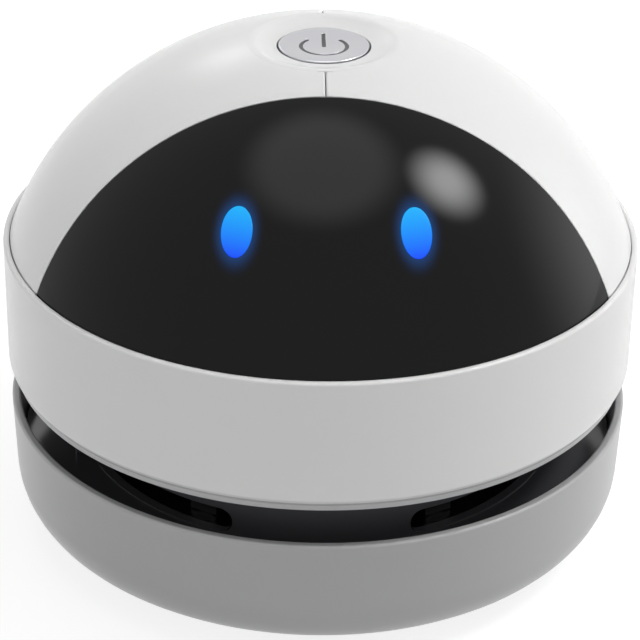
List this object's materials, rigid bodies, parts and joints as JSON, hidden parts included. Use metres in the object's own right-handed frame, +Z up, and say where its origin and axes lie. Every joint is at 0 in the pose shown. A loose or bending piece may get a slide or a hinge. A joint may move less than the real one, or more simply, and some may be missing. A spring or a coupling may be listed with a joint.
{
  "type": "desktop mini vacuum cleaner",
  "caption": "Palm-size dome-shaped desktop vacuum: push button on top, black visor with light windows, open exhaust ring and a twist-off dust cup with a suction inlet below.",
  "frame": {"origin": "on the table under the middle of the cleaner", "axes": "+Z up, the visor faces -Y, +X to the viewer's right"},
  "size_m": [0.088, 0.088, 0.0713],
  "materials": {
    "shell_white": "satin-gloss moulded ABS, white",
    "cup_grey": "satin moulded ABS, very light grey",
    "visor_black": "high-gloss smoked black",
    "window_blue": "lit translucent blue",
    "button_silver": "satin anodised",
    "dark_plastic": "fine-textured moulded",
    "housing_black": "gloss moulded",
    "fan_grey": "moulded nylon",
    "board_green": "solder mask",
    "lamp_clear": "clear epoxy",
    "cell_wrap": "shrink sleeve",
    "wire_red": "PVC sheath",
    "motor_steel": "zinc-plated",
    "screw_steel": "nickel-plated",
    "rubber_black": "matte",
    "filter_grey": "moulded",
    "filter_paper": "pleated fibre",
    "bristle_nylon": "nylon strands"
  },
  "bodies": {
    "main": {"band": "shell_white", "dome_left": "shell_white", "dome_right": "shell_white", "visor": "visor_black", "eye_window_left": "window_blue", "eye_window_right": "window_blue", "crown": "shell_white", "switch_body": "dark_plastic", "control_board": "board_green", "board_screws": "screw_steel", "led_board": "board_green", "led_lamps": "lamp_clear", "battery_cell": "cell_wrap", "charge_socket": "screw_steel", "charge_board": "board_green", "lead_wires": "wire_red", "motor_can": "motor_steel", "motor_end_cap": "dark_plastic", "motor_screws": "screw_steel", "motor_deck": "dark_plastic", "fan_housing": "housing_black", "inlet_grille": "dark_plastic", "seal_ring": "rubber_black", "case_screws": "screw_steel"},
    "button": {"power_button": "button_silver", "switch_plunger": "dark_plastic"},
    "rotor": {"motor_shaft": "motor_steel", "impeller": "fan_grey"},
    "filter": {"filter_frame": "filter_grey", "filter_media": "filter_paper"},
    "cup": {"dust_cup": "cup_grey", "suction_nozzle": "dark_plastic", "base_plate": "dark_plastic", "brush_front": "bristle_nylon", "brush_back": "bristle_nylon", "feet": "rubber_black", "base_screws": "screw_steel"}
  },
  "joints": [
    {"name": "button_press", "type": "slide", "parent": "main", "child": "button", "axis": [0, 0, -1], "range_m": [0, 0.0008], "stiffness_N_per_m": 1500, "springref_m": -0.0005},
    {"name": "impeller_spin", "type": "hinge", "parent": "main", "child": "rotor", "pos_m": [0, 0, 0.02], "axis": [0, 0, 1], "continuous": true},
    {"name": "cup_drop", "type": "slide", "parent": "main", "child": "filter", "axis": [0, 0, -1], "range_m": [0, 0.028]},
    {"name": "cup_twist", "type": "hinge", "parent": "filter", "child": "cup", "pos_m": [0, 0, 0], "axis": [0, 0, 1], "range_deg": [0, 30]}
  ]
}
